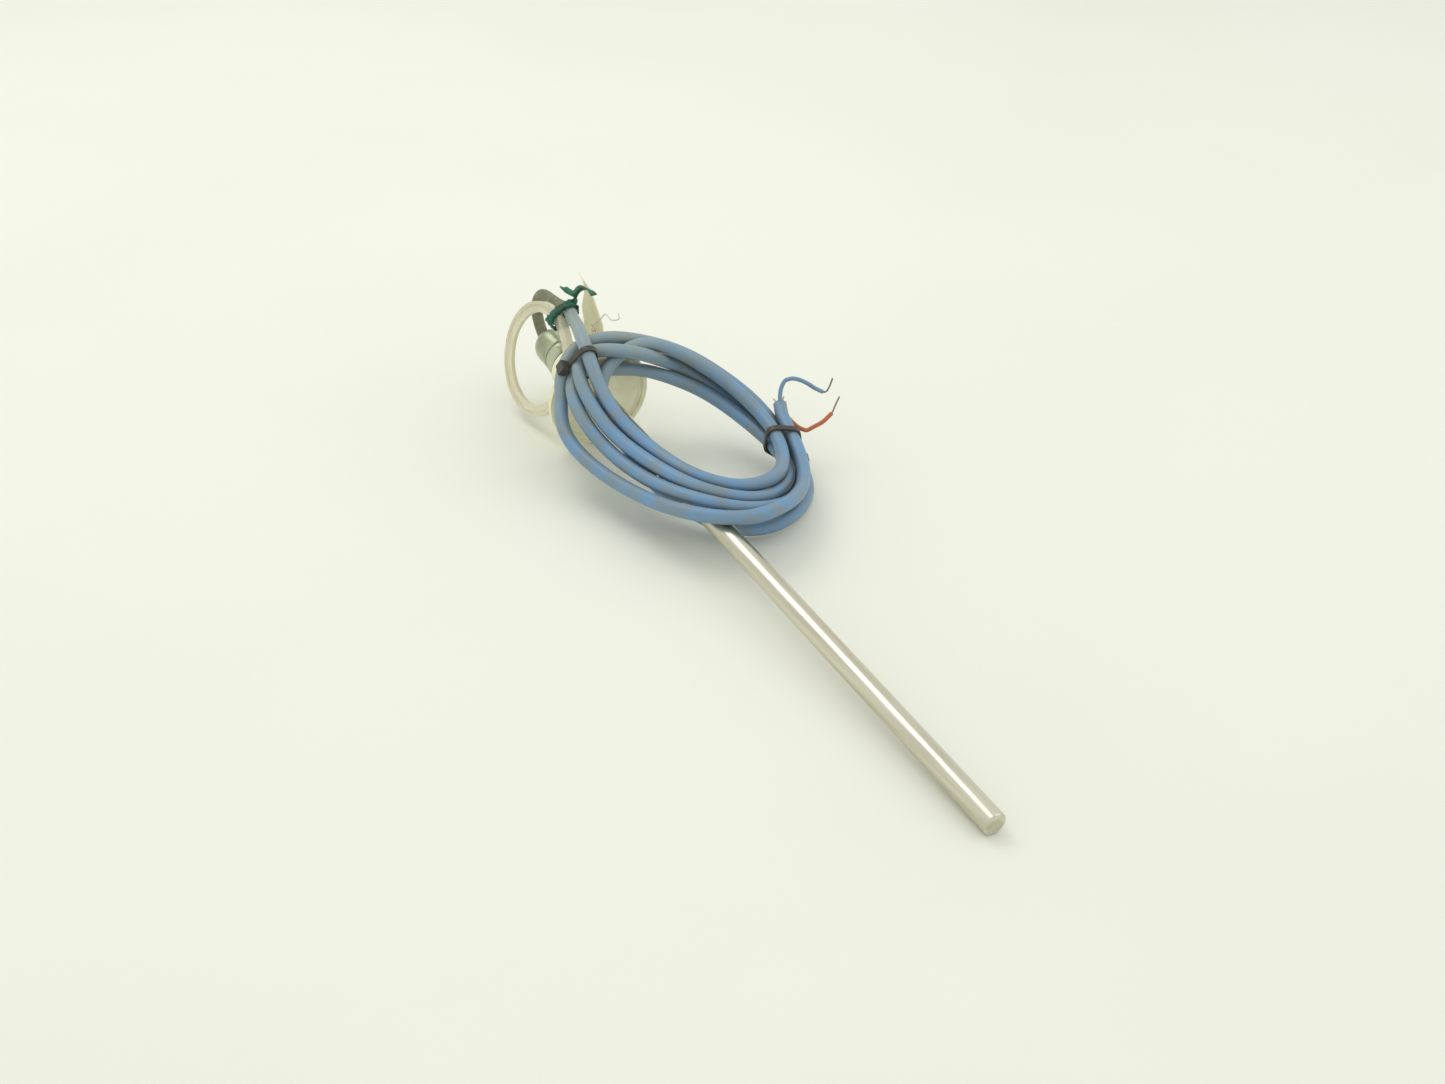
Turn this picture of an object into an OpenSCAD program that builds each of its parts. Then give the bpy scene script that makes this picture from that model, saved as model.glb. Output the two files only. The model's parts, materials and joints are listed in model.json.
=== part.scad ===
// Sanitary clamp thermocouple: a closed stainless probe welded through a clamp
// flange, a cable gland on the back, and a lead wound into a tied coil.
// The probe lies on a flat surface, resting on the flange's rim and on its tip.

/* [Probe] */
// Outside diameter of the probe's sheath
sheath_d = 9.525; // [8:0.005:11]
// Wall of the sheath
sheath_wall = 1; // [0.8:0.1:1.2]
// Length of the sheath in front of the flange's face
insertion = 304.8; // [150:0.1:400]

/* [Clamp flange] */
// Outside diameter of the clamp flange
clamp_d = 50.5; // [48:0.1:52]
// Width of the flange's cylindrical rim
rim_t = 2.85; // [2.5:0.05:3.5]
// Overall thickness of the flange
cap_t = 6.35; // [6:0.05:7]
// Diameter of the middle of the gasket groove
groove_d = 43.6; // [42:0.1:45]

/* [Cable gland] */
// Width of the gland's hexagon across its flats
hex_af = 19; // [18:0.5:20]
// Outside diameter of the dome nut
nut_d = 17.8; // [17:0.1:18.5]
// Length of the dome nut
nut_len = 17.7; // [17:0.1:18.5]

/* [Lead] */
// Outside diameter of the lead's blue jacket
jacket_d = 6.3; // [6:0.1:6.5]
// Outside diameter of the grey inner cable at the gland
inner_d = 5.6; // [5.4:0.1:5.8]
// Outside diameter of each insulated conductor
conductor_d = 2; // [1.8:0.1:2.2]

/* [Spare gasket] */
// Outside diameter of the spare clamp gasket
gasket_d = 55; // [54:0.5:56]
// Inside diameter of the spare clamp gasket
gasket_bore = 44.5; // [43.5:0.5:45.5]

/* [Hidden] */
$fn = 64;

slack = 0.3;                                  // gap between curved neighbours
sheath_r = sheath_d / 2;
bore_r = sheath_r - sheath_wall;
clamp_r = clamp_d / 2;
tip_edge = 1;                                 // rounding of the tip's edge
tip_plug_t = 4;                               // thickness of the closed end
sheath_tail = 8;                              // sheath behind the flange's face
tilt = atan((clamp_r - sheath_r) / (insertion - tip_edge));
face_z = clamp_r * cos(tilt);                 // height of the flange's centre

// Stations along the probe's axis, measured backwards from the flange's face
hub_r = 11;
hub_bore_r = 7;
hub_end = 29;
thread_start = 21;
thread_r = 7.6;
thread_fit = 0.05;
oring_end = hub_end + 1.2;
hex_end = oring_end + 5.6;
collar_end = hex_end + 4.4;
collar_r = 8.8;
neck_r = 7.9;
nut_front = collar_end + 0.8;
spigot_r = 7.2;
spigot_end = nut_front + 8;
gland_bore_r = 5.6;
claw_front = 40;
nut_end = nut_front + nut_len;
nut_r = nut_d / 2;
dome_x = nut_end - 8.4;                       // centre of the dome's curve
mouth_r = 3.7;
mouth_edge = 0.2;                             // chamfer of the nut's mouth
shoulder_x = 54.2;
ring_t = 0.8;
seal_r = 4.8;

// Both ends of the rigid part, and the middle that the origin stands under
front_x = insertion * cos(tilt) + (sheath_r - tip_edge) * sin(tilt);
rear_x = nut_end * cos(tilt) + (mouth_r + mouth_edge) * sin(tilt);
mid_x = (front_x - rear_x) / 2;

// Places below are in the bench frame: X runs to the tip, Z is up,
// and the flange's face centre stands over the origin.
module on_bench() translate([-mid_x, 0, 0]) children();
module along_probe() on_bench() translate([0, 0, face_z]) rotate([0, tilt, 0]) children();

// A round bar from station a to station b on the probe's axis
module bar(a, b, r) translate([a, 0, 0]) rotate([0, 90, 0]) cylinder(h = b - a, r = r);
module pipe(a, b, r, hole) {
    difference() {
        bar(a, b, r);
        bar(a - 1, b + 1, hole);
    }
}
// A body turned about the probe's axis from [station, radius] points
module turned(outline) {
    rotate([0, -90, 0]) rotate_extrude()
        polygon([for (p = outline) [p[1], p[0]]]);
}

// ---- curves and swept tubes ----
function unit(v) = v / norm(v);
function curve(a, b, c, d, t) =
    0.5 * (2 * b + (c - a) * t + (2 * a - 5 * b + 4 * c - d) * t * t
        + (3 * b - a - 3 * c + d) * t * t * t);
function smooth(p, n) = [
    for (i = [0 : len(p) - 2], k = [0 : n - 1])
        curve(p[max(i - 1, 0)], p[i], p[i + 1], p[min(i + 2, len(p) - 1)], k / n),
    p[len(p) - 1]
];
function smooth_loop(p, n) = [
    for (i = [0 : len(p) - 1], k = [0 : n - 1])
        curve(p[(i + len(p) - 1) % len(p)], p[i], p[(i + 1) % len(p)], p[(i + 2) % len(p)], k / n)
];
function tangents(p) = [
    for (i = [0 : len(p) - 1]) unit(p[min(i + 1, len(p) - 1)] - p[max(i - 1, 0)])
];
function square_to(v, t) = unit(v - (v * t) * t);
function normals(t, i, last) =
    let (n = square_to(last, t[i]))
    i == len(t) - 1 ? [n] : concat([n], normals(t, i + 1, n));
// One ring of a cross-section: half sizes w and h along n and across it
function section(p, t, n, w, h, sides) = [
    for (k = [0 : sides - 1])
        let (a = 360 * (k + 0.5) / sides)
        p + w * cos(a) * n + h * sin(a) * cross(t, n)
];
function walls(rings, sides, closed) = [
    for (i = [0 : rings - (closed ? 1 : 2)], k = [0 : sides - 1])
        let (j = (i + 1) % rings, m = (k + 1) % sides)
        each [[i * sides + k, j * sides + k, j * sides + m],
              [i * sides + k, j * sides + m, i * sides + m]]
];
module tube(route, steps, w, h, sides, side_way) {
    p = smooth(route, steps);
    t = tangents(p);
    n = normals(t, 0, side_way);
    polyhedron(
        points = [for (i = [0 : len(p) - 1]) each section(p[i], t[i], n[i], w, h, sides)],
        faces = concat(
            walls(len(p), sides, false),
            [[for (k = [0 : sides - 1]) k]],
            [[for (k = [sides - 1 : -1 : 0]) (len(p) - 1) * sides + k]]
        ),
        convexity = 6
    );
}

// ---- the lead's route, in the bench frame ----
inner_route = [
    [-41, 0, 28], [-50, 0, 28.6], [-58, 0, 29.1], [-63, 0.5, 29.8], [-69, 1.5, 33],
    [-72, 2.5, 39], [-69, 3, 45.5], [-62, 2.5, 50.5], [-53, 2, 54], [-45, 1.5, 56],
    [-37, 0.8, 57], [-29.5, -0.3, 56.8]
];
lead_route = [
    [-29.5, -0.3, 56.8], [-22, -2, 56.5], [-13, -4, 56], [-4, -6, 54.5], [4, -7, 52]
];
tail_route = [[66, 62, 23], [58, 66, 25], [50, 69, 26.5], [45, 71, 27]];
blue_route = [
    [48, 70, 27], [42, 73, 27.5], [33, 81, 27], [29, 88, 26], [33, 94, 26], [42, 96, 26]
];
copper_route = [[42, 96, 26], [45, 97, 26], [45, 101, 26], [38, 107, 26]];
red_route = [
    [49, 68, 26], [46, 70, 25.5], [49, 74.5, 23], [59, 76, 21], [66, 78.5, 20], [67, 84, 20],
    [61, 92, 19]
];
constantan_route = [[61, 92, 19], [56, 98, 18], [49, 104, 18]];
rip_route = [[45.4, 70.8, 30], [43.5, 72, 30.4], [42, 74, 29.6]];

// ---- the coil: its outer shape round the loop ----
// Each station is the middle of the bundle, its half width outwards, its half
// height, and the angle that its width leans by.
coil_stations = [
    [5, -13, 50.5, 10, 6, 0],
    [19, -16, 39, 11.5, 6.5, -20],
    [41, -15, 29.5, 13.5, 7.5, -38],
    [67, -10, 21.5, 13, 9, -38],
    [93, -4, 18.5, 11, 10.5, 0],
    [110, 10, 15.5, 12, 13, 0],
    [112, 29, 13, 11.5, 12.6, 0],
    [104, 47, 11, 10.5, 10.6, 0],
    [86, 60, 12, 9.5, 9.5, 0],
    [62, 64, 18.5, 8.3, 8.3, 0],
    [41, 60, 25, 8.5, 8.5, 0],
    [21, 51, 33.5, 8, 9, 0],
    [6, 36, 43, 7, 9.5, 0],
    [4, 13, 52.5, 7, 7.5, 0]
];
coil_middle = [55, 25, 25];
coil_sides = 12;

module coil_solid() {
    s = smooth_loop(coil_stations, 3);
    n = len(s);
    p = [for (c = s) [c[0], c[1], c[2]]];
    t = [for (i = [0 : n - 1]) unit(p[(i + 1) % n] - p[(i + n - 1) % n])];
    rings = [
        for (i = [0 : n - 1])
            let (out = square_to(p[i] - coil_middle, t[i]),
                 up = cross(out, t[i]),
                 lean = cos(s[i][5]) * out + sin(s[i][5]) * up)
            each section(p[i], t[i], lean, s[i][3], s[i][4], coil_sides)
    ];
    polyhedron(points = rings, faces = walls(n, coil_sides, true), convexity = 10);
}

// ---- cable ties ----
tie_w = 2.5;
tie_t = 1.2;
module oval(half_w, half_h) {
    straight = half_w - half_h;
    square([2 * half_h, 2 * straight], center = true);
    for (s = [-1, 1]) translate([0, s * straight]) circle(r = half_h);
}
module band(half_w, half_h) {
    translate([0, 0, -tie_w / 2]) linear_extrude(tie_w) difference() {
        oval(half_w + tie_t, half_h + tie_t);
        oval(half_w, half_h);
    }
}
module left_tie_place() on_bench() translate([10, -14, 46]) rotate([0, 128, -8]) children();
module right_tie_place() on_bench() translate([60, 64.5, 19]) rotate([0, 75, 160]) children();
left_tie_half = [11, 7];
right_tie_half = [8.6, 8.5];
module tie_gap(half) {
    translate([0, 0, -tie_w / 2 - slack]) linear_extrude(tie_w + 2 * slack) difference() {
        oval(half[0] + 30, half[1] + 30);
        oval(half[0] - slack, half[1] - slack);
    }
}

// ---- spare gasket, tag and their ties ----
module gasket_place() on_bench() translate([-36.4, -14.4, 31.8]) rotate([73.4, 0, 5.2]) children();
gasket_r = gasket_d / 2;
gasket_bore_r = gasket_bore / 2;
gasket_t = 2;
lip_t = 3.6;
bead_r = 1.3;
tag_t = 0.6;
tag_hole_r = 2;
module tag_place() on_bench() translate([-43.5, 16, 59]) rotate([97, 0, 0]) children();

// ================= parts =================
module sheath_tube() {
    color("silver") along_probe() pipe(-sheath_tail, insertion - tip_plug_t, sheath_r, bore_r);
}

module tip_plug() {
    color("silver") along_probe() turned([
        [-insertion, 0], [-insertion, sheath_r - tip_edge],
        for (a = [15 : 15 : 75])
            [-insertion + tip_edge * (1 - cos(a)), sheath_r - tip_edge * (1 - sin(a))],
        [-insertion + tip_edge, sheath_r], [-insertion + tip_plug_t, sheath_r],
        [-insertion + tip_plug_t, 0]
    ]);
}

module clamp_flange() {
    back_r = clamp_r - (cap_t - rim_t) / tan(20);
    color("gainsboro") along_probe() difference() {
        turned([[0, 0], [0, clamp_r], [rim_t, clamp_r], [cap_t, back_r], [cap_t, 0]]);
        bar(-cap_t - 1, 1, sheath_r);
        rotate([0, 90, 0]) rotate_extrude() translate([groove_d / 2, 0]) circle(r = 1.4, $fn = 32);
    }
}

module flange_hub() {
    color("gainsboro") along_probe() difference() {
        bar(-hub_end, -cap_t, hub_r);
        bar(-hub_end - 1, -cap_t - 2, hub_bore_r);
        bar(-cap_t - 3, -cap_t + 1, sheath_r);
        bar(-hub_end - 1, -thread_start, thread_r + thread_fit);
    }
}

// The parts inside, and the gland, all lie on the probe's axis
wire_gap = 1.6;                               // each wire's distance from the axis
thermo_wire_r = 0.5;
wire_end = insertion - 10;
bead_len = 32;
bead_count = 9;
splice_x = 15;
module insulator_beads() {
    color("ivory") along_probe() for (i = [0 : bead_count - 1]) {
        a = -6 + i * (bead_len + 0.4);
        difference() {
            bar(a, a + bead_len, bore_r - 0.4);
            for (s = [-1, 1]) translate([0, 0, s * wire_gap]) bar(a - 1, a + bead_len + 1, 0.8);
        }
    }
}
module thermo_wire(side) {
    along_probe() translate([0, 0, side * wire_gap]) bar(-splice_x, wire_end, thermo_wire_r);
}
module thermo_wire_positive() color("peru") thermo_wire(1);
module thermo_wire_negative() color("darkgray") thermo_wire(-1);
module hot_junction() {
    color("dimgray") along_probe() turned([
        [-wire_end, 0], [-wire_end, 2.4], [-wire_end - 0.8, 2.6],
        [-wire_end - 2.2, 2], [-wire_end - 2.8, 0]
    ]);
}
module crimp_sleeves() {
    color("silver") along_probe() for (s = [-1, 1]) translate([0, 0, s * wire_gap])
        pipe(-splice_x - 3.5, -splice_x + 3.5, 1.5, 0.95);
}
module extension_wires() {
    color("steelblue") along_probe() for (s = [-1, 1]) translate([0, 0, s * wire_gap])
        bar(-41, -splice_x, 0.9);
}
module hub_potting() {
    color("dimgray") along_probe() difference() {
        bar(-thread_start + 0.2, -sheath_tail - 0.4, hub_bore_r - 0.1);
        for (s = [-1, 1]) translate([0, 0, s * wire_gap]) {
            bar(-thread_start - 1, -sheath_tail + 1, 1);
            bar(-splice_x - 3.6, -splice_x + 3.6, 1.55);
        }
    }
}

module gland_oring() color("black") along_probe() pipe(-oring_end, -hub_end, 10.4, thread_r + 0.1);

module gland_body() {
    hex_r = hex_af / 2 / cos(30);
    color("darkkhaki") along_probe() difference() {
        union() {
            bar(-thread_start - 8.1, -thread_start - 0.2, thread_r);
            bar(-oring_end - 0.1, -hub_end + 0.1, thread_r);
            intersection() {
                translate([-hex_end, 0, 0]) rotate([0, 90, 0]) rotate([0, 0, 30])
                    cylinder(h = hex_end - oring_end, r = hex_r, $fn = 6);
                turned([
                    [oring_end, 0], [oring_end, hex_r - 0.9], [oring_end + 1, hex_r + 0.2],
                    [hex_end - 1, hex_r + 0.2], [hex_end, hex_r - 0.9], [hex_end, 0]
                ]);
            }
            turned([
                [hex_end - 0.2, 0], [hex_end - 0.2, collar_r], [collar_end - 0.4, collar_r],
                [collar_end, collar_r - 0.4], [collar_end, neck_r], [nut_front, neck_r],
                [nut_front, spigot_r], [spigot_end, spigot_r], [spigot_end, 0]
            ]);
        }
        bar(-spigot_end - 1, -thread_start + 1, gland_bore_r);
    }
}

module clamping_claw() {
    color("whitesmoke") along_probe() difference() {
        turned([
            [claw_front, seal_r + 0.1], [claw_front, gland_bore_r - 0.05],
            [spigot_end, gland_bore_r - 0.05], [spigot_end, 6.4], [shoulder_x - ring_t - 0.1, 5.9],
            [shoulder_x - ring_t - 0.1, seal_r + 0.1]
        ]);
        for (i = [0 : 5]) rotate([60 * i, 0, 0]) translate([-shoulder_x, -0.4, 4]) cube([6, 0.8, 4]);
    }
}

module cable_seal() color("dimgray") along_probe() pipe(1 - shoulder_x, -42, seal_r, inner_d / 2 + 0.1);

module slip_ring() color("gainsboro") along_probe() pipe(-shoulder_x, ring_t - shoulder_x, 6.3, mouth_r);

module dome_nut() {
    color("darkkhaki") along_probe() turned([
        [nut_front, spigot_r + 0.08], [nut_front, nut_r - 0.5], [nut_front + 0.5, nut_r],
        for (a = [0 : 10 : 60]) [dome_x + 8.4 * sin(a), nut_r * cos(a)],
        [nut_end - 0.3, mouth_r + 2 * mouth_edge], [nut_end, mouth_r + mouth_edge], [nut_end, mouth_r],
        [shoulder_x, mouth_r], [shoulder_x, 6.5], [spigot_end + 0.5, spigot_r + 0.08]
    ]);
}

// ---- the lead ----
module inner_cable() {
    color("dimgray") on_bench() tube(inner_route, 2, inner_d / 2, inner_d / 2, 8, [0, 1, 0]);
}
module jacket_mouth() {
    color("white") on_bench() translate([-29.5, -0.3, 56.8]) rotate([0, 90, -11]) difference() {
        translate([0, 0, -1.2]) cylinder(h = 1, r = jacket_d / 2 + 0.2);
        translate([0, 0, -2]) cylinder(h = 3, r = inner_d / 2 + 0.1);
    }
}
module lead_cable() {
    color("steelblue") on_bench() tube(lead_route, 3, jacket_d / 2, jacket_d / 2, 8, [0, 1, 0]);
}
module coil_cable() {
    color("steelblue") difference() {
        on_bench() coil_solid();
        along_probe() {
            bar(-1, insertion, sheath_r + slack);
            bar(-cap_t - slack, slack, clamp_r + slack);
        }
        left_tie_place() tie_gap(left_tie_half);
        right_tie_place() tie_gap(right_tie_half);
    }
}
module tail_cable() {
    color("steelblue") on_bench() tube(tail_route, 2, jacket_d / 2, jacket_d / 2, 8, [0, 0, 1]);
}
module rip_thread() {
    color("goldenrod") on_bench() tube(rip_route, 2, 0.4, 0.4, 8, [0, 0, 1]);
}
module wire_blue() {
    color("steelblue") on_bench() tube(blue_route, 3, conductor_d / 2, conductor_d / 2, 8, [0, 0, 1]);
}
module wire_red() {
    color("firebrick") on_bench() tube(red_route, 3, conductor_d / 2, conductor_d / 2, 8, [0, 0, 1]);
}
module bare_copper() color("peru") on_bench() tube(copper_route, 3, 0.6, 0.6, 8, [0, 0, 1]);
module bare_constantan() color("silver") on_bench() tube(constantan_route, 3, 0.6, 0.6, 8, [0, 0, 1]);

// ---- ties ----
module zip_tie(half) {
    band(half[0], half[1]);
    translate([-2.2, -half[0] - tie_t - 3.4, -2.3]) cube([4.4, 3.6, 4.6]);
}
module zip_tie_left() color("black") left_tie_place() zip_tie(left_tie_half);
module zip_tie_right() color("black") right_tie_place() rotate([0, 0, 90]) zip_tie(right_tie_half);

// ---- gasket with the twist tie that holds it on the lead ----
module spare_gasket() {
    color("wheat") gasket_place() rotate_extrude() {
        translate([gasket_bore_r, -gasket_t / 2]) square([gasket_r - gasket_bore_r, gasket_t]);
        translate([gasket_r - 1.4, -lip_t / 2]) square([1.4, lip_t]);
        translate([(gasket_r + gasket_bore_r) / 2, 0]) circle(r = bead_r, $fn = 32);
    }
}
twist_half_w = 11;
twist_half_h = 7;
twist_t = 0.5;
twist_w = 3.6;
module twist_place() on_bench() translate([-28.6, -4, 53.5]) rotate([0, 78, 21]) rotate([0, 0, 28]) children();
neck_route = [[-33.2, 4.8, 58.7], [-32.6, 3.8, 61.5], [-31, 3, 64.3]];
ear_left = [[-31, 3, 64], [-38.3, 3, 62.9], [-44.5, 3, 62]];
ear_right = [[-31.2, 3, 64], [-26.3, 3, 69], [-20.7, 3, 72], [-14.7, 3, 73.1], [-10.7, 3, 72.5]];
module twist_tie() {
    color("darkgreen") {
        twist_place() translate([0, 0, -twist_w / 2]) linear_extrude(twist_w) difference() {
            oval(twist_half_w + twist_t, twist_half_h + twist_t);
            oval(twist_half_w, twist_half_h);
        }
        on_bench() difference() {
            union() {
                tube(neck_route, 3, 1.3, 1.3, 8, [0, 1, 0]);
                tube(ear_left, 3, 1.4, 0.6, 8, [0, 1, 0]);
                tube(ear_right, 3, 1.4, 0.6, 8, [0, 1, 0]);
            }
            for (r = [ear_left, ear_right]) tube(r, 3, 0.3, 0.3, 8, [0, 1, 0]);
        }
    }
}
module twist_tie_core() {
    color("gray") on_bench() for (r = [ear_left, ear_right]) tube(r, 3, 0.25, 0.25, 8, [0, 1, 0]);
}

tag_outline = [
    [-8, 6], [-3, 3.5], [-3.5, -3], [-9, -13], [-9.5, -32], [11.5, -32], [12.5, -14],
    [6.5, -3], [2.5, 2]
];
module tag() {
    color("khaki") tag_place() linear_extrude(tag_t) difference() {
        polygon(tag_outline);
        translate([1, -23]) circle(r = tag_hole_r);
    }
}
module tag_eyelet() {
    color("tan") tag_place() translate([1, -23, -0.35]) difference() {
        union() {
            cylinder(h = 0.3, r = tag_hole_r + 1.6);
            translate([0, 0, tag_t + 0.4]) cylinder(h = 0.3, r = tag_hole_r + 1.6);
            cylinder(h = tag_t + 0.7, r = tag_hole_r - 0.05);
        }
        translate([0, 0, -1]) cylinder(h = tag_t + 3, r = tag_hole_r - 0.5);
    }
}
string_route = [
    [-10, 15, 61], [-8, 14.5, 59], [-20, 13.5, 55], [-31, 14, 47], [-40, 16, 38], [-42.5, 19, 37],
    [-43, 22, 39]
];
module tag_string() color("whitesmoke") on_bench() tube(string_route, 3, 0.5, 0.5, 8, [0, 0.3, 1]);

sheath_tube();
tip_plug();
clamp_flange();
flange_hub();
insulator_beads();
thermo_wire_positive();
thermo_wire_negative();
hot_junction();
crimp_sleeves();
extension_wires();
hub_potting();
gland_oring();
gland_body();
clamping_claw();
cable_seal();
slip_ring();
dome_nut();
inner_cable();
jacket_mouth();
lead_cable();
coil_cable();
tail_cable();
rip_thread();
wire_blue();
wire_red();
bare_copper();
bare_constantan();
zip_tie_left();
zip_tie_right();
twist_tie();
twist_tie_core();
spare_gasket();
tag();
tag_eyelet();
tag_string();
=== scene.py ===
import json
import math

import bpy
import numpy as np
from mathutils import Matrix, Vector


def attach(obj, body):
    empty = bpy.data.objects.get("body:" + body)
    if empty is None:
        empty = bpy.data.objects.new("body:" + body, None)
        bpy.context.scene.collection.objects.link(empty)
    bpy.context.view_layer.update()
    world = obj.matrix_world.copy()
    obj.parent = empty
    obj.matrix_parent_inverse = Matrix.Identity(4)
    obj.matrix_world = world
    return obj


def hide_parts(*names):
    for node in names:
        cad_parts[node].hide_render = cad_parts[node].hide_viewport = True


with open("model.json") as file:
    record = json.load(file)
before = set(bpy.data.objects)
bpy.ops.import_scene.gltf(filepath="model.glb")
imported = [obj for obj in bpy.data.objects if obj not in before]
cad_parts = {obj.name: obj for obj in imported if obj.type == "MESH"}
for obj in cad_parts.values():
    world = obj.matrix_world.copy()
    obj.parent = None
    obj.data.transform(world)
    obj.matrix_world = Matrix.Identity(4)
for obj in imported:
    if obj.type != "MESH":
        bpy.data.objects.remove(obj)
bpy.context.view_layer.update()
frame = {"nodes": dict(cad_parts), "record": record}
nodes = frame["nodes"]
record = frame["record"]

# ---------------------------------------------------------------- the bench
# Bench millimetres: X runs under the probe from the flange's face, Z is up from the floor.
sheath = next(m for m in record["mounts"] if m["name"] == "probe_sheath")
fwd = Vector(sheath["axis"]).normalized()
MOUNT_REACH = 0.150
FACE = Vector(sheath["pos_m"]) - fwd * MOUNT_REACH

# Radii and small gaps in metres. LIP is where the blue jacket ends near the gland, in bench millimetres.
JACKET_R = 0.00315
INNER_R = 0.0028
WIRE_R = 0.001
BARE_R = 0.0004
RIP_R = 0.00032
THREAD_R = 0.00028
SHEATH_R = 0.0047625
FLANGE_R = 0.02525
FLANGE_THICK = 0.0065
STRAND_GAP = 0.0002
PROBE_GAP = 0.00025
LIP = (-29.5, -0.3, 56.8)


def at(p):
    return Vector((FACE.x + p[0] / 1000, p[1] / 1000, p[2] / 1000))


def smooth_path(points, per=8):
    p = np.array([at(q) for q in points])
    out = []
    for i in range(len(p) - 1):
        a, b, c, d = p[max(i - 1, 0)], p[i], p[i + 1], p[min(i + 2, len(p) - 1)]
        for k in range(per):
            t = k / per
            out.append(0.5 * (2 * b + (c - a) * t + (2 * a - 5 * b + 4 * c - d) * t * t
                              + (3 * b - a - 3 * c + d) * t ** 3))
    out.append(p[-1])
    return np.array(out)


def even(p, n):
    s = np.r_[0, np.cumsum(np.linalg.norm(np.diff(p, axis=0), axis=1))]
    u = np.linspace(0, s[-1], n)
    return np.array([np.interp(u, s, p[:, k]) for k in range(3)]).T


def run(p):
    return float(np.linalg.norm(np.diff(p, axis=0), axis=1).sum())


# ---------------------------------------------------------------- camera
CAMERA_AT = (0.49689, -0.30940, 0.40604)
LENS_MM = 41.62
cam_data = bpy.data.cameras.new("camera")
cam = bpy.data.objects.new("camera", cam_data)
bpy.context.scene.collection.objects.link(cam)
right = Vector((0.50476, 0.86270, 0.03124)).normalized()
ahead = Vector((-0.70918, 0.43503, -0.55481)).normalized()
up = right.cross(ahead).normalized()
right = ahead.cross(up).normalized()
cam.matrix_world = Matrix((
    (right.x, up.x, -ahead.x, CAMERA_AT[0]),
    (right.y, up.y, -ahead.y, CAMERA_AT[1]),
    (right.z, up.z, -ahead.z, CAMERA_AT[2]),
    (0, 0, 0, 1)))
cam_data.lens = LENS_MM
cam_data.sensor_width = 36
cam_data.clip_start = 0.01
bpy.context.scene.camera = cam

# ---------------------------------------------------------------- materials


def material(name, colour, other, rough, scale=60.0, metal=0.0, bump=0.0, bump_scale=400.0,
             stretch=(1, 1, 1), turn=(0, 0, 0), spread=0.08, grain=0.0, **settings):
    m = bpy.data.materials.new(name)
    m.use_nodes = True
    nt = m.node_tree
    bsdf = next(n for n in nt.nodes if n.type == "BSDF_PRINCIPLED")
    co = nt.nodes.new("ShaderNodeTexCoord")
    mp = nt.nodes.new("ShaderNodeMapping")
    mp.inputs["Scale"].default_value = stretch
    mp.inputs["Rotation"].default_value = turn
    nt.links.new(co.outputs["Object"], mp.inputs["Vector"])
    big = nt.nodes.new("ShaderNodeTexNoise")
    big.inputs["Scale"].default_value = scale
    big.inputs["Detail"].default_value = 6
    nt.links.new(mp.outputs["Vector"], big.inputs["Vector"])
    ramp = nt.nodes.new("ShaderNodeValToRGB")
    ramp.color_ramp.elements[0].position = 0.36
    ramp.color_ramp.elements[0].color = (*other, 1)
    ramp.color_ramp.elements[1].position = 0.62
    ramp.color_ramp.elements[1].color = (*colour, 1)
    nt.links.new(big.outputs["Fac"], ramp.inputs["Fac"])
    nt.links.new(ramp.outputs["Color"], bsdf.inputs["Base Color"])
    fine = nt.nodes.new("ShaderNodeTexNoise")
    fine.inputs["Scale"].default_value = bump_scale
    fine.inputs["Detail"].default_value = 4
    nt.links.new(mp.outputs["Vector"], fine.inputs["Vector"])
    rr = nt.nodes.new("ShaderNodeMapRange")
    rr.inputs["To Min"].default_value = max(0.02, rough - spread)
    rr.inputs["To Max"].default_value = min(1.0, rough + spread)
    nt.links.new(fine.outputs["Fac"], rr.inputs["Value"])
    nt.links.new(rr.outputs["Result"], bsdf.inputs["Roughness"])
    if bump:
        b = nt.nodes.new("ShaderNodeBump")
        b.inputs["Strength"].default_value = 0.6
        b.inputs["Distance"].default_value = bump
        nt.links.new(fine.outputs["Fac"], b.inputs["Height"])
        nt.links.new(b.outputs["Normal"], bsdf.inputs["Normal"])
    bsdf.inputs["Metallic"].default_value = metal
    for key, value in settings.items():
        bsdf.inputs[key.replace("_", " ")].default_value = value
    return m


def fade_near(m, point, reach, colour):
    """The finish turns to colour towards one point: handled, greyed plastic near a cut end."""
    nt = m.node_tree
    bsdf = next(n for n in nt.nodes if n.type == "BSDF_PRINCIPLED")
    link = bsdf.inputs["Base Color"].links[0]
    source = link.from_socket
    co = next(n for n in nt.nodes if n.type == "TEX_COORD")
    dist = nt.nodes.new("ShaderNodeVectorMath")
    dist.operation = "DISTANCE"
    nt.links.new(co.outputs["Object"], dist.inputs[0])
    dist.inputs[1].default_value = point
    mr = nt.nodes.new("ShaderNodeMapRange")
    mr.inputs["From Min"].default_value = reach[0]
    mr.inputs["From Max"].default_value = reach[1]
    mr.inputs["To Min"].default_value = 0.9
    mr.inputs["To Max"].default_value = 0.0
    nt.links.new(dist.outputs["Value"], mr.inputs["Value"])
    mix = nt.nodes.new("ShaderNodeMixRGB")
    mix.inputs["Color2"].default_value = (*colour, 1)
    nt.links.new(mr.outputs["Result"], mix.inputs["Fac"])
    nt.links.new(source, mix.inputs["Color1"])
    nt.links.new(mix.outputs["Color"], bsdf.inputs["Base Color"])


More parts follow.
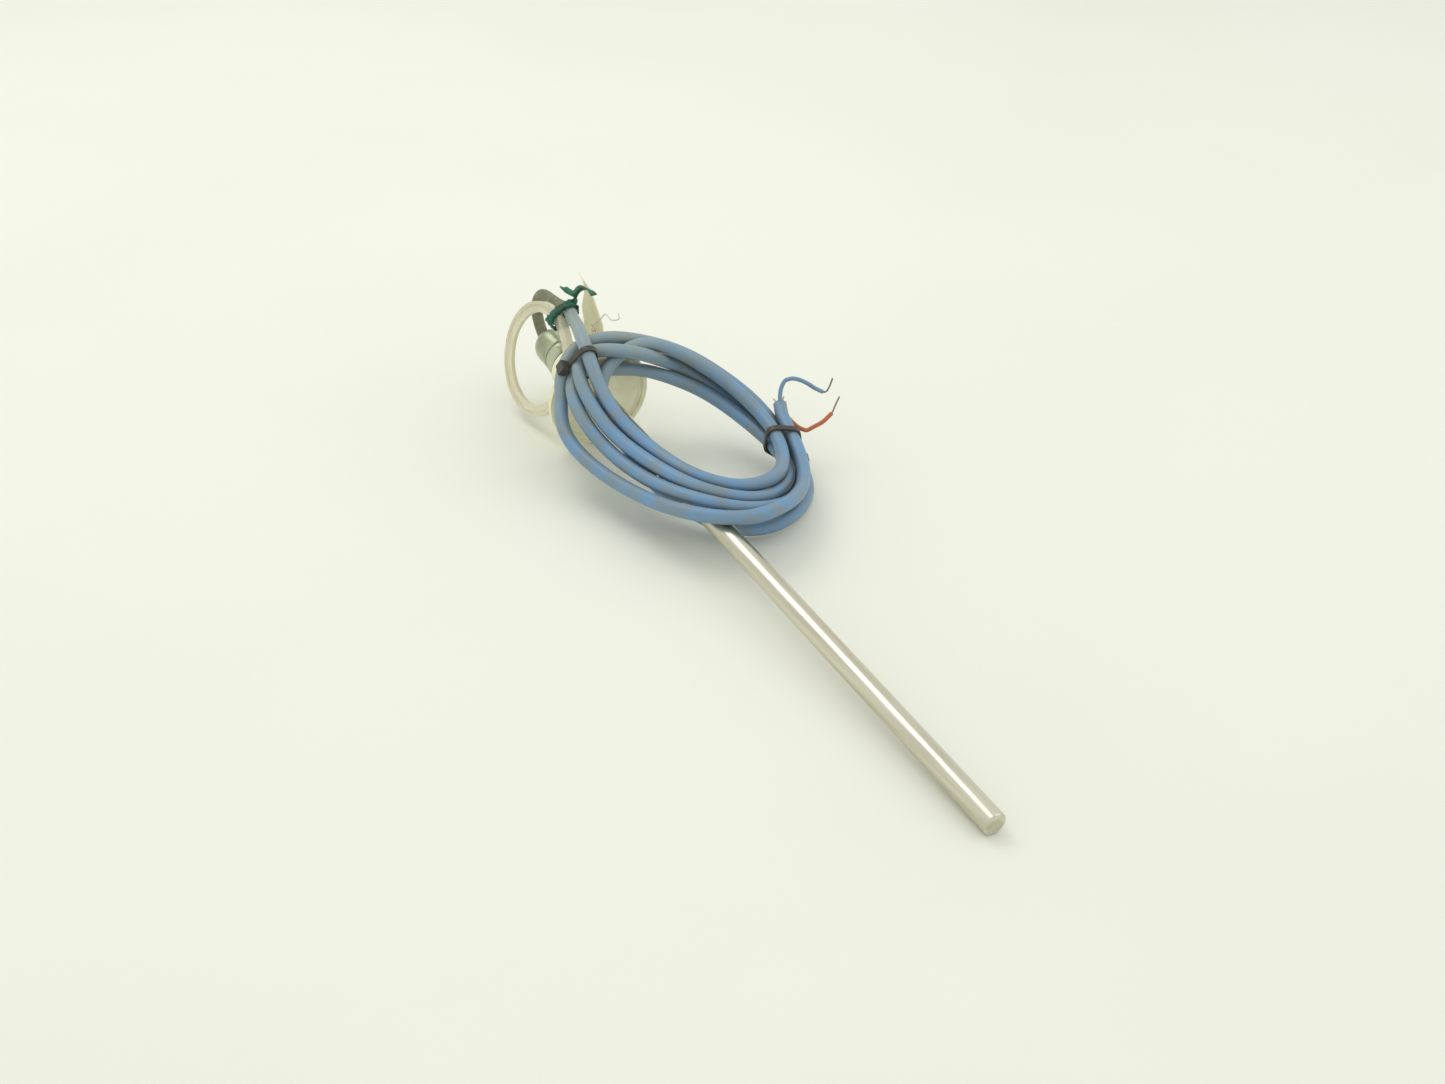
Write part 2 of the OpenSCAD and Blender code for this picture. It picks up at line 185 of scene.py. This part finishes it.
TILT = math.atan2(-fwd.z, fwd.x)
steel = material("brushed_steel", (0.70, 0.68, 0.55), (0.55, 0.52, 0.41), 0.25, scale=260, metal=1.0,
                 bump=0.00002, bump_scale=900, stretch=(0.02, 1, 1), turn=(0, -TILT, 0), spread=0.10)
face_steel = material("turned_steel", (0.93, 0.91, 0.68), (0.80, 0.77, 0.55), 0.45, scale=70, metal=0.45,
                      bump=0.00002, bump_scale=700)
nickel = material("nickel_plate", (0.54, 0.58, 0.42), (0.36, 0.40, 0.29), 0.34, scale=110, metal=0.8,
                  bump=0.00001, bump_scale=900)
weld = material("weld_bead", (0.40, 0.37, 0.33), (0.30, 0.29, 0.28), 0.45, metal=1.0, bump=0.00008)
ceramic = material("bead_ceramic", (0.82, 0.80, 0.74), (0.74, 0.71, 0.64), 0.6, bump=0.00003)
copper = material("copper", (0.80, 0.46, 0.32), (0.66, 0.34, 0.22), 0.3, metal=1.0, bump=0.00001)
constantan = material("constantan", (0.66, 0.62, 0.54), (0.54, 0.50, 0.44), 0.3, metal=1.0, bump=0.00001)
dull_copper = material("dull_copper", (0.24, 0.19, 0.13), (0.16, 0.13, 0.10), 0.45, metal=0.7, bump=0.00002)
dull_constantan = material("dull_constantan", (0.28, 0.27, 0.21), (0.20, 0.19, 0.15), 0.45, metal=0.7,
                           bump=0.00002)
tinned = material("tinned_copper", (0.78, 0.79, 0.80), (0.66, 0.67, 0.68), 0.3, metal=1.0, bump=0.00001)
pvc = material("hidden_wire_pvc", (0.06, 0.16, 0.42), (0.05, 0.12, 0.34), 0.45, bump=0.00002)
potting = material("potting", (0.10, 0.10, 0.10), (0.06, 0.06, 0.07), 0.35, bump=0.00004)
rubber = material("black_rubber", (0.030, 0.030, 0.030), (0.018, 0.018, 0.018), 0.65, bump=0.00003)
claw = material("claw_nylon", (0.80, 0.79, 0.74), (0.72, 0.71, 0.66), 0.45, bump=0.00002)
seal = material("seal_rubber", (0.07, 0.07, 0.07), (0.04, 0.04, 0.04), 0.6, bump=0.00003)
grey_jacket = material("inner_jacket", (0.20, 0.21, 0.115), (0.13, 0.135, 0.075), 0.50, scale=180,
                       bump=0.00004, bump_scale=500, spread=0.12)
lip_mat = material("jacket_lip", (0.60, 0.62, 0.60), (0.42, 0.46, 0.50), 0.5, bump=0.00004)
blue_jacket = material("blue_jacket", (0.150, 0.300, 0.490), (0.195, 0.270, 0.320), 0.42, scale=110,
                       bump=0.00005, bump_scale=260, spread=0.12)


def paint_contact_shade(m, colour, reach):
    """Painted shade: the base colour darkens to a brownish tone where strands touch, masked by ambient
    occlusion.
    """
    nt = m.node_tree
    bsdf = next(n for n in nt.nodes if n.type == "BSDF_PRINCIPLED")
    source = bsdf.inputs["Base Color"].links[0].from_socket
    ao = nt.nodes.new("ShaderNodeAmbientOcclusion")
    ao.inputs["Distance"].default_value = reach
    ao.samples = 4
    mr = nt.nodes.new("ShaderNodeMapRange")
    mr.inputs["From Min"].default_value = 0.25
    mr.inputs["From Max"].default_value = 0.75
    mr.inputs["To Min"].default_value = 0.6
    mr.inputs["To Max"].default_value = 0.0
    nt.links.new(ao.outputs["AO"], mr.inputs["Value"])
    mix = nt.nodes.new("ShaderNodeMixRGB")
    mix.inputs["Color2"].default_value = (*colour, 1)
    nt.links.new(mr.outputs["Result"], mix.inputs["Fac"])
    nt.links.new(source, mix.inputs["Color1"])
    nt.links.new(mix.outputs["Color"], bsdf.inputs["Base Color"])


# painted shade, brownish, in the creases where the lead's strands touch
paint_contact_shade(blue_jacket, (0.115, 0.105, 0.080), 0.005)
fade_near(blue_jacket, at(LIP), (0.022, 0.075), (0.30, 0.36, 0.33))
wire_blue_mat = material("wire_blue", (0.20, 0.32, 0.45), (0.15, 0.25, 0.37), 0.42, bump=0.00002)
wire_red_mat = material("wire_red", (0.58, 0.16, 0.055), (0.46, 0.12, 0.045), 0.38, bump=0.00002)
yellow = material("rip_thread", (0.78, 0.50, 0.10), (0.66, 0.36, 0.07), 0.8, scale=900, bump=0.00006,
                  bump_scale=1800)
tie_black = material("tie_nylon", (0.045, 0.042, 0.034), (0.075, 0.066, 0.050), 0.42, bump=0.00003)
twist_green = material("twist_green", (0.012, 0.150, 0.080), (0.008, 0.070, 0.040), 0.48, scale=160,
                       bump=0.00008, bump_scale=500)
silicone = material("milky_silicone", (0.95, 0.92, 0.75), (0.90, 0.86, 0.66), 0.34, scale=60,
                    bump=0.00003, bump_scale=300, Transmission_Weight=0.55, IOR=1.41)
card = material("tag_card", (0.92, 0.89, 0.64), (0.86, 0.82, 0.56), 0.8, scale=120, bump=0.00006,
                bump_scale=900)
eyelet = material("tag_eyelet", (0.70, 0.62, 0.42), (0.58, 0.50, 0.34), 0.35, metal=1.0, bump=0.00002)
string_mat = material("tag_string", (0.80, 0.79, 0.75), (0.66, 0.65, 0.61), 0.85, scale=1200,
                      bump=0.00008, bump_scale=2400)

FINISH = {
    "sheath_tube": steel, "tip_plug": steel, "clamp_flange": face_steel, "flange_hub": face_steel,
    "insulator_beads": ceramic, "thermo_wire_positive": copper, "thermo_wire_negative": constantan,
    "hot_junction": weld, "crimp_sleeves": tinned, "extension_wires": pvc, "hub_potting": potting,
    "gland_oring": rubber, "gland_body": nickel, "clamping_claw": claw, "cable_seal": seal,
    "slip_ring": nickel, "dome_nut": nickel, "inner_cable": grey_jacket, "jacket_mouth": lip_mat,
    "lead_cable": blue_jacket, "coil_cable": blue_jacket, "tail_cable": blue_jacket,
    "rip_thread": yellow, "wire_blue": wire_blue_mat, "wire_red": wire_red_mat,
    "bare_copper": copper, "bare_constantan": constantan, "zip_tie_left": tie_black,
    "zip_tie_right": tie_black, "twist_tie": twist_green, "twist_tie_core": tinned,
    "spare_gasket": silicone, "tag": card, "tag_eyelet": eyelet, "tag_string": string_mat,
}
for name, o in nodes.items():
    o.data.materials.clear()
    o.data.materials.append(FINISH[name])

# ---------------------------------------------------------------- cords


def tube(name, points, radius, mat, body="root"):
    cu = bpy.data.curves.new(name, "CURVE")
    cu.dimensions = "3D"
    sp = cu.splines.new("POLY")
    sp.points.add(len(points) - 1)
    for q, p in zip(sp.points, points):
        q.co = (*p, 1)
    sp.use_smooth = True
    cu.bevel_depth = radius
    cu.bevel_resolution = 8
    cu.use_fill_caps = True
    cu.materials.append(mat)
    o = bpy.data.objects.new(name, cu)
    bpy.context.scene.collection.objects.link(o)
    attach(o, body)
    return o


inner_points = even(smooth_path([(-41, 0, 28), (-50, 0, 28), (-58, 0, 28.5), (-65, 1, 30), (-70.5, 1.5, 35),
                                 (-72.5, 2, 41), (-69.5, 2.5, 47), (-64, 2.5, 50), (-55, 2, 51.5),
                                 (-46, 1.5, 53), (-37, 1, 55), LIP]), 60)
inner = tube("inner_cable_skin", inner_points, INNER_R, grey_jacket)
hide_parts("inner_cable")

# Each turn of the coil: out along the probe, round the right-hand end, and back over the flange.
LEAD_IN = [LIP, (-21, -3, 57), (-10, -6, 59), (2, -10, 60)]
TURNS = [
    # first turn: the innermost in front and at the right-hand end
    [(12, -12, 58), (21, -12, 47), (40, -10, 35), (66, -3, 28), (88, 3, 27), (101, 18, 24), (100, 34, 23),
     (91, 45, 21), (77, 54, 20), (63, 58, 23), (39, 56, 29), (20, 47, 37), (8, 32, 46), (6, 13, 53)],
    # second turn: drops under the probe and lies lowest at the right-hand end
    [(10, -6, 44), (20, -10, 36), (44, -9, 26), (65, -4, 14), (84, 3, 9), (100, 14, 6), (107, 30, 6),
     (101, 47, 7), (86, 62, 6), (70, 66, 11), (43, 61, 17), (21, 53, 26), (4, 38, 36), (12, 13, 53),
     (6, -1, 55), (0, -7, 55), (1, -13, 55)],
    # third turn: next to the first in front, lowest at the back
    [(7, -17, 52), (20, -19, 43), (41, -16, 32), (67, -9, 27), (94, -2, 27), (108, 14, 24), (105, 32, 18),
     (98, 44, 16), (82, 57, 13), (68, 60, 15), (41, 55, 21), (21, 46, 28), (9, 32, 35), (6, 18, 41),
     (7, -9, 48), (3, -15, 49)],
    # fourth turn: topmost at the back
    [(6, -21, 47), (22, -25, 39), (42, -21, 28), (68, -14, 23), (99, -6, 26), (113, 9, 24), (112, 27, 20),
     (97, 46, 11), (85, 57, 8), (70, 64, 13), (44, 63, 25), (21, 54, 34), (5, 40, 43), (1, 9, 56),
     (-2, 0, 55), (-5, -6, 53), (1, -15, 48), (6, -18, 38)],
    # last half turn: lowest in front, outermost at the right-hand end
    [(13, -22, 32), (20, -27, 27), (42, -26, 20), (70, -19, 17), (103, -13, 23), (122, 5, 24), (120, 23, 23),
     (110, 40, 19), (92, 56, 16), (71, 64, 21)],
]
TAIL = [(64, 64, 23), (57, 66, 25), (52, 68, 26), (48, 70, 27)]
way = list(LEAD_IN)
for turn in TURNS:
    way += turn
way += TAIL
LAY_POINTS, SMOOTHING_PASSES, SETTLING_PASSES = 520, 14, 420
LEAD_IN_POINTS = 22  # these stay where they are, at the lip
lay0 = even(smooth_path(way), LAY_POINTS)
for _ in range(SMOOTHING_PASSES):
    lay0[8:-4] = 0.25 * lay0[7:-5] + 0.5 * lay0[8:-4] + 0.25 * lay0[9:-3]
step = run(lay0) / (len(lay0) - 1)
held = np.ones(len(lay0))
held[:LEAD_IN_POINTS] = 0
axis = np.array(fwd)
face = np.array(FACE)
move = np.zeros_like(lay0)
gap = max(1, int(0.030 / step))
ii, jj = np.triu_indices(len(lay0), gap)
SPACE = 2 * JACKET_R + STRAND_GAP


def settle(x):
    """One pass: strands push each other apart, and off the probe, the flange and the floor."""
    push = np.zeros_like(x)
    d = x[jj] - x[ii]
    apart = np.linalg.norm(d, axis=1)
    near = apart < SPACE
    u = d[near] / apart[near][:, None]
    p = ((SPACE - apart[near]) * 0.5)[:, None] * u
    np.add.at(push, jj[near], p)
    np.add.at(push, ii[near], -p)
    w = x - face
    s = w @ axis
    rv = w - s[:, None] * axis
    r = np.linalg.norm(rv, axis=1)
    clear = SHEATH_R + JACKET_R + PROBE_GAP
    k = (r < clear) & (s > 0)
    push[k] += rv[k] / r[k][:, None] * (clear - r[k])[:, None]
    ahead_by = JACKET_R + STRAND_GAP - s
    over_by = FLANGE_R + JACKET_R + STRAND_GAP - r
    rim = (ahead_by > 0) & (over_by > 0) & (s > -FLANGE_THICK)
    k = rim & (ahead_by <= over_by)
    push[k] += axis * ahead_by[k][:, None]
    k = rim & (ahead_by > over_by)
    push[k] += rv[k] / r[k][:, None] * over_by[k][:, None]
    low = np.clip(JACKET_R - x[:, 2], 0, None)
    push[:, 2] += low
    return push


for _ in range(SETTLING_PASSES):
    move += settle(lay0 + move) * 0.55 * held[:, None]
    for _ in range(2):
        move[1:-1] = 0.25 * move[:-2] + 0.5 * move[1:-1] + 0.25 * move[2:]
    move *= held[:, None]
lay1 = lay0 + move
lead = tube("blue_lead", lay1, JACKET_R, blue_jacket)
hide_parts("lead_cable", "coil_cable", "tail_cable")

END = lay1[-1]


def offset(points, start):
    """A conductor's path in bench millimetres, with its root brought to the lead's cut end."""
    p = smooth_path(points)
    shift = np.array(start) - p[0]
    fade = np.clip(1 - np.arange(len(p)) / (0.6 * len(p)), 0, 1)[:, None]
    return p + shift * fade


tip_dir = (lay1[-1] - lay1[-4]) / np.linalg.norm(lay1[-1] - lay1[-4])
root_b = END - tip_dir * 0.003 + np.array((0.0, 0.0, 0.0012))
root_r = END - tip_dir * 0.003 - np.array((0.0, 0.0, 0.0012))
blue_pts = even(offset([(48, 68, 26), (46, 69, 29), (44, 71, 33), (43, 74, 36), (44, 76, 37),
                        (45, 78, 37.5), (47, 81, 37), (50, 84, 35.5), (52, 86, 34), (55, 89, 32.5)],
                       root_b), 30)
red_pts = even(offset([(48.5, 68.5, 25), (50, 70, 24), (54, 72, 21), (57, 74, 19), (59, 76, 18),
                       (60, 78, 17.5), (61, 81, 19), (62, 85, 21), (62, 88, 23), (62, 90, 24.5)],
                      root_r), 30)
wire_b = tube("wire_blue_skin", blue_pts, WIRE_R, wire_blue_mat)
wire_r = tube("wire_red_skin", red_pts, WIRE_R, wire_red_mat)
bare_blue_pts = even(smooth_path([(54, 88, 33), (55, 89, 32.5), (56, 90, 33), (56, 91, 34), (55, 93, 36),
                                  (54, 94.5, 38)]), 24)
bare_red_pts = even(smooth_path([(62, 89, 24), (62, 90, 24.5), (61, 92.5, 28), (60, 95, 31)]), 16)
bare_b = tube("bare_copper_strands", bare_blue_pts, BARE_R, dull_copper)
bare_r = tube("bare_constantan_strands", bare_red_pts, BARE_R, dull_constantan)
fray = []
for k in range(7):
    a = 2 * math.pi * k / 7
    u = np.cross(tip_dir, (0, 0, 1))
    u /= np.linalg.norm(u)
    v = np.cross(u, tip_dir)
    out = u * math.cos(a) + v * math.sin(a)
    reach = 0.0022 + 0.0011 * math.sin(2.4 * k)
    pts = [END - tip_dir * 0.001 + out * 0.0014, END + tip_dir * 0.0006 + out * 0.0018,
           END + tip_dir * reach * 0.6 + out * 0.0024, END + tip_dir * reach + out * 0.0031]
    fray.append(tube("rip_cord_%d" % (k + 1), np.array(pts), RIP_R, yellow))
for piece in fray:
    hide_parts("rip_thread")
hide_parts("wire_blue")
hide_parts("wire_red")
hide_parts("bare_copper")
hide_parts("bare_constantan")

# ---------------------------------------------------------------- cable ties


def hull(pts):
    pts = sorted(map(tuple, pts))

    def half(seq):
        out = []
        for p in seq:
            while len(out) > 1 and ((out[-1][0] - out[-2][0]) * (p[1] - out[-2][1])
                                    - (out[-1][1] - out[-2][1]) * (p[0] - out[-2][0])) <= 0:
                out.pop()
            out.append(p)
        return out[:-1]
    return np.array(half(pts) + half(pts[::-1]))


def strands_at(centre, normal, reach):
    """Where the lead crosses a plane, within reach of its centre."""
    s = (lay1 - centre) @ normal
    found = []
    for i in np.nonzero(np.sign(s[:-1]) != np.sign(s[1:]))[0]:
        t = s[i] / (s[i] - s[i + 1])
        p = lay1[i] + (lay1[i + 1] - lay1[i]) * t
        if np.linalg.norm(p - centre) < reach:
            found.append((p, (lay1[i + 1] - lay1[i]) / np.linalg.norm(lay1[i + 1] - lay1[i])))
    return found


def solid(name, verts, faces, mat, smooth=True, bevel=0.0, body="root"):
    me = bpy.data.meshes.new(name)
    me.from_pydata([tuple(v) for v in verts], [], faces)
    me.update()
    if smooth:
        me.polygons.foreach_set("use_smooth", [True] * len(me.polygons))
    me.materials.append(mat)
    o = bpy.data.objects.new(name, me)
    bpy.context.scene.collection.objects.link(o)
    if bevel:
        b = o.modifiers.new("edge", "BEVEL")
        b.width = bevel
        b.segments = 3
        b.limit_method = "ANGLE"
    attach(o, body)
    return o


def tie(name, centre, normal, reach, head_at, node):
    """A cable tie drawn tight: its strap follows the outside of the strands that cross its plane."""
    normal = np.array(normal) / np.linalg.norm(normal)
    found = strands_at(centre, normal, reach)
    c = np.mean([p for p, _ in found], axis=0)
    side = np.cross(normal, (0, 0, 1))
    side /= np.linalg.norm(side)
    top = np.cross(side, normal)
    ring = []
    r = JACKET_R + 0.0007
    for p, d in found:
        w = p - c
        round_u = np.cross(d, (0, 0, 1))
        round_u /= np.linalg.norm(round_u)
        round_v = np.cross(round_u, d)
        for k in range(40):
            a = 2 * math.pi * k / 40
            q = r * (math.cos(a) * round_u + math.sin(a) * round_v)
            q = w + q - d * ((w + q) @ normal) / (d @ normal)
            ring.append((q @ side, q @ top))
    line = hull(ring)
    line = np.vstack([line, line[:1]])
    n = 96
    s = np.r_[0, np.cumsum(np.linalg.norm(np.diff(line, axis=0), axis=1))]
    u = np.linspace(0, s[-1], n + 1)[:-1]
    line = np.array([np.interp(u, s, line[:, k]) for k in (0, 1)]).T
    for _ in range(2):
        line = 0.25 * np.roll(line, 1, 0) + 0.5 * line + 0.25 * np.roll(line, -1, 0)
    tan = np.roll(line, -1, 0) - np.roll(line, 1, 0)
    tan /= np.linalg.norm(tan, axis=1)[:, None]
    out2 = np.array([tan[:, 1], -tan[:, 0]]).T
    verts, faces = [], []
    half_w, thick = 0.0014, 0.0010
    for q, o2 in zip(line, out2):
        for a, b in ((-half_w, -thick / 2), (half_w, -thick / 2), (half_w, thick / 2), (-half_w, thick / 2)):
            e = q + o2 * b
            verts.append(c + side * e[0] + top * e[1] + normal * a)
    for i in range(n):
        j = (i + 1) % n
        for k in range(4):
            m = (k + 1) % 4
            faces.append((4 * i + k, 4 * i + m, 4 * j + m, 4 * j + k))
    strap = solid(name + "_strap", verts, faces, tie_black, bevel=0.0002)
    target = np.array(head_at) - c
    flat = np.array([target @ side, target @ top])
    i = int(np.argmin(np.linalg.norm(line - flat, axis=1)))
    o3 = side * out2[i][0] + top * out2[i][1]
    t3 = side * tan[i][0] + top * tan[i][1]
    h = c + side * line[i][0] + top * line[i][1] + o3 * 0.0018
    verts = [h + t3 * a + o3 * b + normal * d
             for a in (-0.0026, 0.0026) for b in (-0.0019, 0.0019) for d in (-0.0028, 0.0028)]
    faces = [(0, 1, 3, 2), (4, 6, 7, 5), (0, 4, 5, 1), (2, 3, 7, 6), (0, 2, 6, 4), (1, 5, 7, 3)]
    head = solid(name + "_head", verts, faces, tie_black, smooth=False, bevel=0.0006)
    pieces = [strap, head]
    for piece in pieces:
        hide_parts(node)
    return pieces


on_lead = ["jacket_mouth"] + fray
on_lead += tie("left_tie", np.array(at((10, -13.5, 53.5))), (0.86, -0.2, -0.38), 0.0102,
               at((2, -22, 51)), "zip_tie_left")
on_lead += tie("right_tie", np.array(at((66, 62, 20))), (-0.9, 0.35, 0.2), 0.016,
               at((66, 70, 8)), "zip_tie_right")

# ---------------------------------------------------------------- twist tie and tag string


def ribbon(name, points, width, across, twist=0.0, thick=0.0004, closed=False, crumple=0.0,
           per=8, seed=0.0):
    """A flat strip along points in bench millimetres; across is the way its width lies at the start."""
    p = smooth_path(points, per)
    if closed:
        p = p[:-1]
    n = len(p)
    tan = (np.roll(p, -1, 0) - np.roll(p, 1, 0)) if closed else np.gradient(p, axis=0)
    tan /= np.linalg.norm(tan, axis=1)[:, None]
    verts, faces = [], []
    for i in range(n):
        w = np.array(across) - (np.array(across) @ tan[i]) * tan[i]
        w /= np.linalg.norm(w)
        o = np.cross(tan[i], w)
        a = twist * i / (n - 1)
        w, o = w * math.cos(a) + o * math.sin(a), o * math.cos(a) - w * math.sin(a)
        wob = crumple * (math.sin(2.3 * i + seed) + 0.6 * math.sin(5.1 * i + 2 * seed))
        narrow = 1 - 0.25 * (0.5 + 0.5 * math.sin(1.7 * i + seed)) if crumple else 1
        for a, b in ((-1, -1), (0, -1.2), (1, -1), (1, 1), (0, 1.2), (-1, 1)):
            verts.append(p[i] + w * a * width / 2 * narrow + o * (b * thick / 2 + wob * (1 if a else -0.6)))
    for i in range(n if closed else n - 1):
        j = (i + 1) % n
        for k in range(6):
            m = (k + 1) % 6
            faces.append((6 * i + k, 6 * i + m, 6 * j + m, 6 * j + k))
    if not closed:
        last = 6 * (n - 1)
        faces += [(5, 4, 3, 2, 1, 0), tuple(last + k for k in range(6))]
    return solid(name, verts, faces, twist_green)


tie_parts = []
wrap_c = np.array((-30.2, -4.0, 55.2))
e1 = np.array((0.0, 0.87, 0.49))
for k, (lean, along, long_r, short_r) in enumerate(((-0.30, -1.6, 7.4, 5.0), (0.12, 0.2, 7.9, 5.4),
                                                    (0.42, 1.7, 7.2, 4.8))):
    nrm = np.array((0.93, 0.18, -0.32))
    nrm = nrm - (nrm @ e1) * e1
    nrm /= np.linalg.norm(nrm)
    e2 = np.cross(nrm, e1)
    nrm, e2 = nrm * math.cos(lean) + e2 * math.sin(lean), e2 * math.cos(lean) - nrm * math.sin(lean)
    pts = []
    for q in range(14):
        a = 2 * math.pi * q / 13
        bump = 1 + 0.07 * math.sin(3 * a + 2 * k)
        pts.append(tuple(wrap_c + nrm * along + e1 * long_r * bump * math.cos(a)
                         + e2 * short_r * bump * math.sin(a)))
    tie_parts.append(ribbon("twist_wrap_%d" % (k + 1), pts, 0.0040, nrm, closed=True, crumple=0.00022, per=5,
                            seed=1.3 * k))
NECK = [(-30.5, 2.2, 59.8), (-31.2, 3.0, 62), (-31, 3, 64.6)]
EAR_LEFT = [(-31, 3, 64.2), (-38.3, 3, 62.9), (-41, 2.4, 63.4), (-44.5, 3, 62)]
EAR_RIGHT = [(-31.2, 3, 64), (-26.3, 3, 69), (-20.7, 3, 72), (-14.7, 3, 73.1), (-10.7, 3, 72.5)]
tie_parts.append(ribbon("twist_neck", NECK, 0.0030, (1, 0, 0.2), twist=4.4, thick=0.0009))
tie_parts.append(ribbon("twist_ear_left", EAR_LEFT, 0.0028, (0, 0, 1), twist=2.2, thick=0.0006))
tie_parts.append(ribbon("twist_ear_right", EAR_RIGHT, 0.0030, (0.4, 0, 1), twist=1.6, thick=0.0006))
for piece in tie_parts:
    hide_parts("twist_tie")

STRING = [(-10, 15, 61), (-8, 14.5, 59), (-14, 13.6, 56), (-20, 13.5, 56.5), (-26, 13.8, 51),
          (-31, 14, 47), (-36, 15, 43), (-40, 16, 38), (-42.5, 19, 37), (-43, 22, 39)]
string_pts = even(smooth_path(STRING), 40)
thread = tube("tag_thread", string_pts, THREAD_R, string_mat, body="tag")
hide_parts("tag_string")

# ---------------------------------------------------------------- floor and light
bpy.ops.mesh.primitive_plane_add(size=8, location=(0, 0, -0.0002))
floor = bpy.context.object
floor.name = "floor"
floor.data.materials.append(material("floor_paint", (0.87, 0.885, 0.80), (0.85, 0.865, 0.775), 0.75, scale=3,
                                     bump=0.00002, bump_scale=40))

world = bpy.data.worlds.new("studio")
bpy.context.scene.world = world
world.use_nodes = True
world.node_tree.nodes["Background"].inputs[0].default_value = (1.0, 1.0, 0.965, 1)
world.node_tree.nodes["Background"].inputs[1].default_value = 0.83


def area(name, where, target, side, power, colour=(1, 1, 1)):
    d = bpy.data.lights.new(name, "AREA")
    d.shape = "SQUARE"
    d.size = side
    d.energy = power
    d.color = colour
    o = bpy.data.objects.new(name, d)
    o.location = where
    o.rotation_euler = (Vector(target) - Vector(where)).to_track_quat("-Z", "Y").to_euler()
    bpy.context.scene.collection.objects.link(o)


area("key", (-0.75, -0.25, 1.15), (0, 0, 0), 0.7, 3.4, (1.0, 0.99, 0.95))
area("fill", (0.3, 0.9, 1.1), (0, 0, 0), 1.0, 2, (0.97, 1.0, 1.0))

view = bpy.context.scene.view_settings
view.view_transform = "Standard"
